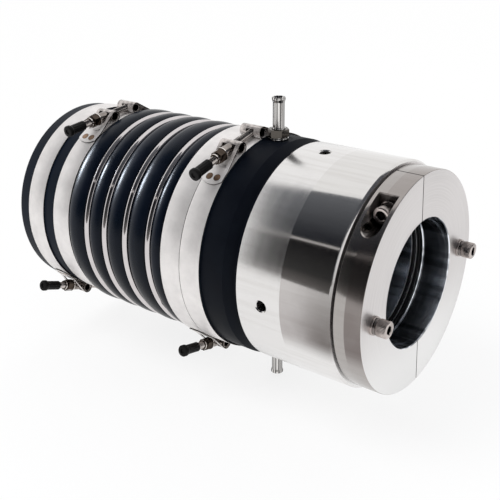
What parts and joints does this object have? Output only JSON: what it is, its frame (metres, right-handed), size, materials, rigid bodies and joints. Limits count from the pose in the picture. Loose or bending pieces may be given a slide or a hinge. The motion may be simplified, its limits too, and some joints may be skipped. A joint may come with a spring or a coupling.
{
  "type": "dripless shaft seal",
  "caption": "Face seal for a boat's propeller shaft: a rubber bellows with hose clamps presses a carbon ring on a steel rotor.",
  "frame": {"origin": "centre of the rotor's bore at the seal face", "axes": "+X along the shaft from the carbon to the rotor and collar, +Z towards the upper hose barb"},
  "size_m": [0.3697, 0.1842, 0.2476],
  "materials": {
    "bellows_rubber": "moulded rubber, soft satin",
    "oring_rubber": "smooth black rubber",
    "carbon": "turned carbon graphite, matt",
    "rotor_steel": "turned and polished stainless steel",
    "collar_steel": "turned stainless steel, satin face",
    "band_steel": "polished strip",
    "ring_steel": "bright round wire",
    "bolt_steel": "bright turned steel",
    "nut_steel": "plain steel, slightly brown",
    "screw_steel": "machined, knurled heads",
    "washer_steel": "stamped steel",
    "set_screw_steel": "plain steel",
    "barb_steel": "turned stainless steel",
    "cap_plastic": "ribbed black plastic"
  },
  "bodies": {
    "stern_end": {"bellows": "bellows_rubber", "clamp_1_band": "band_steel", "clamp_1_bridge": "band_steel", "clamp_1_t_bolt": "bolt_steel", "clamp_1_trunnion": "bolt_steel", "clamp_1_nut": "nut_steel", "clamp_1_cap": "cap_plastic", "clamp_2_band": "band_steel", "clamp_2_bridge": "band_steel", "clamp_2_t_bolt": "bolt_steel", "clamp_2_trunnion": "bolt_steel", "clamp_2_nut": "nut_steel", "clamp_2_cap": "cap_plastic"},
    "stator": {"carbon_stator": "carbon", "vent_barb": "barb_steel", "feed_barb": "barb_steel", "clamp_3_band": "band_steel", "clamp_3_bridge": "band_steel", "clamp_3_t_bolt": "bolt_steel", "clamp_3_trunnion": "bolt_steel", "clamp_3_nut": "nut_steel", "clamp_3_cap": "cap_plastic", "clamp_4_band": "band_steel", "clamp_4_bridge": "band_steel", "clamp_4_t_bolt": "bolt_steel", "clamp_4_trunnion": "bolt_steel", "clamp_4_nut": "nut_steel", "clamp_4_cap": "cap_plastic"},
    "rotor": {"rotor": "rotor_steel", "shaft_oring_inner": "oring_rubber", "shaft_oring_outer": "oring_rubber", "set_screws": "set_screw_steel", "lock_screws": "set_screw_steel", "collar_half_near": "collar_steel", "collar_half_far": "collar_steel", "clamp_screws": "screw_steel", "clamp_spring_washers": "washer_steel", "clamp_plain_washers": "washer_steel", "face_screws": "screw_steel", "face_spring_washers": "washer_steel", "face_plain_washers": "washer_steel"},
    "fold_ring_1": {"support_ring_1": "ring_steel"},
    "fold_ring_2": {"support_ring_2": "ring_steel"},
    "fold_ring_3": {"support_ring_3": "ring_steel"},
    "fold_ring_4": {"support_ring_4": "ring_steel"}
  },
  "joints": [
    {"name": "bellows_compress", "type": "slide", "parent": "stern_end", "child": "stator", "axis": [1, 0, 0], "range_m": [-0.025, 0], "deforming": ["bellows"]},
    {"name": "rotor_spin", "type": "hinge", "parent": "stator", "child": "rotor", "pos_m": [0, 0, 0], "axis": [1, 0, 0], "continuous": true},
    {"name": "fold_ring_1_slide", "type": "slide", "parent": "stern_end", "child": "fold_ring_1", "axis": [1, 0, 0], "range_m": [-0.0054, 0]},
    {"name": "fold_ring_2_slide", "type": "slide", "parent": "stern_end", "child": "fold_ring_2", "axis": [1, 0, 0], "range_m": [-0.0102, 0]},
    {"name": "fold_ring_3_slide", "type": "slide", "parent": "stern_end", "child": "fold_ring_3", "axis": [1, 0, 0], "range_m": [-0.0155, 0]},
    {"name": "fold_ring_4_slide", "type": "slide", "parent": "stern_end", "child": "fold_ring_4", "axis": [1, 0, 0], "range_m": [-0.0213, 0]}
  ],
  "couplings": [
    {"joint": "fold_ring_1_slide", "follows": "bellows_compress", "ratio": 0.2138},
    {"joint": "fold_ring_2_slide", "follows": "bellows_compress", "ratio": 0.4034},
    {"joint": "fold_ring_3_slide", "follows": "bellows_compress", "ratio": 0.6163},
    {"joint": "fold_ring_4_slide", "follows": "bellows_compress", "ratio": 0.8462}
  ]
}
